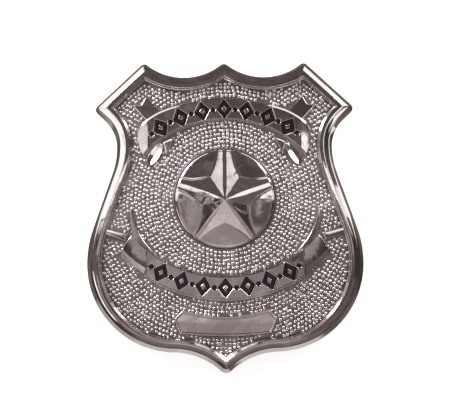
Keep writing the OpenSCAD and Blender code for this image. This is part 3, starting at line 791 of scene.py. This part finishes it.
def enamel_row(ribbon, pitch):
    """Lozenge rings and dots as tubes with a low crown: the crown is a parabola across the line,
    and each ornament is turned about the ribbon's centre to its place."""
    centre_y, inner, outer, _, _, up = ribbon
    across = np.linspace(0, 1, 9)
    shrink = 1 - (LOZENGE_GAP + (LINE - 2 * LOZENGE_GAP) * across) / lozenge_slope
    corners = np.array([[LOZENGE_A, 0], [0, LOZENGE_B], [-LOZENGE_A, 0], [0, -LOZENGE_B]])
    share = np.linspace(0, 1, 7)[:-1, None]
    loop = np.concatenate([corners[i] * (1 - share) + corners[(i + 1) % 4] * share for i in range(4)])
    loops = loop[None] * shrink[:, None, None]
    crown = ENAMEL_CROWN * 4 * across * (1 - across)
    lozenge = np.concatenate([ring_stack(loops, crown), ring_stack(loops[::-8], [-ENAMEL_DEPTH] * 2)])
    dot_out = np.array([1.0, 1.0, 0.8, 0.5, 0.2]) * (DOT_R - DOT_GAP)
    dot_ring = facing(np.arange(DOT_SIDES) * 2 * math.pi / DOT_SIDES)
    dot = ring_stack(dot_ring[None] * dot_out[:, None, None],
                     [-ENAMEL_DEPTH, 0.0, ENAMEL_CROWN * 0.5, ENAMEL_CROWN * 0.9, ENAMEL_CROWN])
    dot_last = dot.shape[0] * DOT_SIDES
    dot_caps = [list(range(dot_last - DOT_SIDES, dot_last)), list(range(DOT_SIDES - 1, -1, -1))]
    lozenge_faces = quads(*lozenge.shape[:2], True, True).tolist()
    dot_faces = quads(*dot.shape[:2], False, True).tolist() + dot_caps
    points, faces, total = [], [], 0
    for count, shape, start, shape_faces in (
            (LOZENGES, lozenge.reshape(-1, 3), first_lozenge, lozenge_faces),
            (LOZENGES + 1, dot.reshape(-1, 3), first_lozenge - 0.5, dot_faces)):
        turn = np.radians((start + np.arange(count)) * pitch)[:, None]
        x, y = shape[None, :, 0], shape[None, :, 1] + (inner + outer) / 2
        plan = np.stack([x * np.cos(turn) + y * np.sin(turn),
                         centre_y + up * (y * np.cos(turn) - x * np.sin(turn))], axis=-1)
        points.append(on_dome(plan, RIBBON_RISE - ENAMEL_LOW, shape[None, :, 2]).reshape(-1, 3))
        for i in range(count):
            shift = total + i * len(shape)
            faces += [[corner + shift for corner in face][::up] for face in shape_faces]
        total += count * len(shape)
    return np.concatenate(points), faces


enamel_finish = enamel_material("enamel_black")
for name, node, ribbon, pitch in (("upper_enamel_inlay", "upper_enamel", UPPER, UPPER_PITCH),
                                  ("lower_enamel_inlay", "lower_enamel", LOWER, LOWER_PITCH)):
    points, faces = enamel_row(ribbon, pitch)
    put_piece(name, points, faces, node, enamel_finish)

# Pin. One plain piece on the hollow back: two posts with a bar between them, and the needle that
# runs through the cloth, all of plated steel wire and strip.
satin = nickel("nickel_satin", (0.60, 0.57, 0.56), (0.46, 0.43, 0.42),
               gloss=0.24, grain=0.10, bump=0.5, sway=0.05)
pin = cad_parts["pin_back"]
pin.data.materials.clear()
pin.data.materials.append(satin)

# Studio. A plain white table in a dim room. Soft panels on the room's walls and ceiling and lit
# cards close over the badge give the polished metal its bright and dark bands.
floor_mesh = bpy.data.meshes.new("table_top")
floor_mesh.from_pydata([(-6, -6, 0), (6, -6, 0), (6, 6, 0), (-6, 6, 0)], [], [(0, 1, 2, 3)])
table_top = bpy.data.objects.new("table_top", floor_mesh)
bpy.context.scene.collection.objects.link(table_top)
paper, _, shader, _ = start_material("white_paper")
shader.inputs["Base Color"].default_value = (0.80, 0.80, 0.80, 1.0)
shader.inputs["Roughness"].default_value = 0.9
shader.inputs["Specular IOR Level"].default_value = 0.0
shader.inputs["Emission Color"].default_value = (1.0, 1.0, 0.995, 1.0)
shader.inputs["Emission Strength"].default_value = 0.75
floor_mesh.materials.append(paper)
table_top.visible_glossy = False

DARK = (0.100, 0.082, 0.080, 1.0)
SHADE = (0.220, 0.185, 0.180, 1.0)
DUSK = (0.27, 0.232, 0.228, 1.0)
DEEP = (0.060, 0.050, 0.049, 1.0)
DIM = (0.20, 0.165, 0.162, 1.0)
MID = (0.39, 0.345, 0.342, 1.0)
PALE = (0.55, 0.50, 0.49, 1.0)
LIGHT = (0.72, 0.67, 0.665, 1.0)
PEARL = (1.24, 1.21, 1.20, 1.0)
WHITE = (1.9, 1.88, 1.86, 1.0)
HOT = (26.0, 25.9, 25.8, 1.0)
WARM = (11.0, 10.95, 10.9, 1.0)
BACKDROP = (1.0, 1.0, 0.995, 1.0)
# Turn and rise of each panel's sides in degrees, the softness of its edges, and its colour
PANELS = (
    (-165, -15, 18, 60, 6, MID), (-60, -15, 18, 60, 6, DIM), (-122, -50, -25, 18, 6, DUSK),
    (-165, -120, -91, -64, 6, PALE), (-125, -50, -91, -60, 6, LIGHT),
    (-112, -68, 42, 60, 4, PALE), (-176, -124, -48, -10, 6, DEEP), (-174, -140, -7, 10, 3, WHITE),
    (165, 190, 34, 62, 6, DEEP), (-190, -170, 34, 62, 6, DEEP), (-10, 15, -91, 62, 6, DEEP),
    (-170, -138, 51, 62, 4, LIGHT), (-160, -142, 40, 51, 3, DEEP), (131, 143, 36, 56, 2, PEARL),
    (37, 49, 36, 56, 2, PEARL), (120, 136, 14, 29, 3, PEARL), (124, 150, -60, 16, 3, WHITE),
    (40, 56, -30, 16, 3, WHITE), (145, 162, 8, 28, 3, PEARL), (131, 146, 8, 31, 3, HOT),
    (36, 50, 8, 29, 3, WARM))

world = bpy.data.worlds.new("room")
bpy.context.scene.world = world
world.use_nodes = True
tree = world.node_tree
wire = Wire(tree)
outlook = wire.node("ShaderNodeTexCoord", output=0)
dx, dy, dz = [wire.node("ShaderNodeSeparateXYZ", None, {0: outlook}, axis) for axis in range(3)]
turn_deg = wire.math("ARCTAN2", dy, dx) * (180 / math.pi)
rise_deg = wire.math("ARCSINE", dz) * (180 / math.pi)


def span(value, low, high, soft):
    """1 between two angles, falling to 0 over the given softness about each of them."""
    return ((value - low) * (1 / soft) + 0.5).clamp() * ((high - value) * (1 / soft) + 0.5).clamp()


drift = wire.node("ShaderNodeTexNoise", None, {"Vector": outlook, "Scale": 9.0, "Detail": 3.0})
room = ((drift - 0.42) * 5.0).clamp().mix(DARK, SHADE)
for turn_from, turn_to, rise_from, rise_to, soft, colour in PANELS:
    panel = span(turn_deg, turn_from, turn_to, soft) * span(rise_deg, rise_from, rise_to, soft)
    room = panel.mix(room, colour)
background = tree.nodes["Background"]
seen = wire.node("ShaderNodeLightPath", output=0)
seen.mix(room, BACKDROP).into(background, "Color")
background.inputs["Strength"].default_value = 1.0

SOFT_WHITE = (1.0, 0.985, 0.975)
BLUSH = (1.0, 0.92, 0.91)
ROSE = (1.0, 0.90, 0.89)
OVER, FROM_LEFT, FROM_RIGHT = (0, 0, 0), (0, -90, 0), (0, 90, 0)
FROM_BELOW, FROM_TOP_END = (180, 0, 0), (-90, 0, 0)
# Centre and size in millimetres, glow, colour, and turn in degrees
CARDS = (
    ("over", (0, -43.75, 55), (56, 62.5), 0.285, ROSE, OVER),
    ("middle", (-6.5, 0.25, 55), (43, 25.5), 0.285, ROSE, OVER),
    ("patch", (23.5, 0, 55), (4, 11), 0.40, BLUSH, OVER),
    ("plate", (0, -30.4, 54.5), (36, 4.0), 0.27, BLUSH, OVER),
    ("facet", (-45.9, -18.3, 55), (5.0, 1.2), 1.5, SOFT_WHITE, (0, 0, -20)),
    ("belly", (-83, -27, 55), (54, 50), 0.12, BLUSH, OVER),
    ("near_left", (-24, 16.6, 55), (24, 7.3), 1.6, SOFT_WHITE, OVER),
    ("left", (-65.5, 14.5, 55), (59, 11.5), 1.1, SOFT_WHITE, OVER),
    ("wedge_left", (-42, 13.5, 54), (16, 8), 0.5, SOFT_WHITE, OVER),
    ("right", (59.5, 14.2, 55), (71, 12), 1.6, SOFT_WHITE, OVER),
    ("far_left", (-71.5, 31, 55), (47, 22), 1.2, SOFT_WHITE, OVER),
    ("far_right", (59, 28, 55), (14, 16), 1.6, SOFT_WHITE, OVER),
    ("table_left", (-61, 14, 0.3), (60, 24), 1.5, SOFT_WHITE, FROM_BELOW),
    ("table_right", (61, 9, 0.3), (60, 14), 1.5, SOFT_WHITE, FROM_BELOW),
    ("foot_right", (28.2, 15.8, 0.3), (6, 8.4), 1.0, SOFT_WHITE, FROM_BELOW),
    ("stand_left", (-45, 14, 12), (24, 16), 1.5, SOFT_WHITE, FROM_LEFT),
    ("stand_right", (45, 10.5, 12), (24, 9), 1.5, SOFT_WHITE, FROM_RIGHT),
    ("back_left", (-33.5, 60, 18), (29, 20), 1.6, SOFT_WHITE, FROM_TOP_END),
    ("back_right", (33.5, 60, 18), (29, 20), 1.6, SOFT_WHITE, FROM_TOP_END),
    ("wing_left", (-37.75, -1, 55), (15.5, 18), 0.38, BLUSH, OVER),
    ("wing_right", (39.5, -1, 55), (9, 18), 0.34, BLUSH, OVER))

for name, centre, size, glow, colour, turned in CARDS:
    lamp = bpy.data.lights.new("card_" + name, "AREA")
    lamp.shape = "RECTANGLE"
    lamp.size, lamp.size_y = size[0] * MM, size[1] * MM
    # A card's power is its glow times its area times pi
    lamp.energy = glow * math.pi * size[0] * size[1] * MM * MM
    lamp.color = colour
    card = bpy.data.objects.new("card_" + name, lamp)
    bpy.context.scene.collection.objects.link(card)
    card.location = [value * MM for value in centre]
    card.rotation_euler = [math.radians(angle) for angle in turned]
    card.visible_camera = False

# Camera. A long lens that looks almost straight down, a little from below the badge's tip, at a
# place over the badge's middle, so that the badge lies as low in the frame as in the photo.
FRAME_W, FRAME_FALL = 450, 18.0
MM_PER_PIXEL = 0.2246
# In metres, the way to the table and how far the badge's face stands over it
DISTANCE, BADGE_DEPTH = 1.0, 0.006
SENSOR = 36.0
TILT, SWING = math.radians(5.0), math.radians(-0.44)

camera_data = bpy.data.cameras.new("camera")
camera = bpy.data.objects.new("camera", camera_data)
bpy.context.scene.collection.objects.link(camera)
bpy.context.scene.camera = camera
camera_data.sensor_width = SENSOR
camera_data.lens = SENSOR * (DISTANCE - BADGE_DEPTH) / (FRAME_W * MM_PER_PIXEL * MM)
camera_data.clip_start, camera_data.clip_end = 0.01, 20.0
south = np.array([math.sin(SWING), -math.cos(SWING), 0.0])
back = south * math.sin(TILT) + np.array([0.0, 0.0, math.cos(TILT)])
up_dir = -south * math.cos(TILT) + np.array([0.0, 0.0, math.sin(TILT)])
camera.location = up_dir * FRAME_FALL * MM_PER_PIXEL * MM + back * DISTANCE
camera.rotation_euler = (TILT, 0.0, SWING)
bpy.context.scene.view_settings.view_transform = "Standard"
bpy.context.scene.view_settings.look = "None"
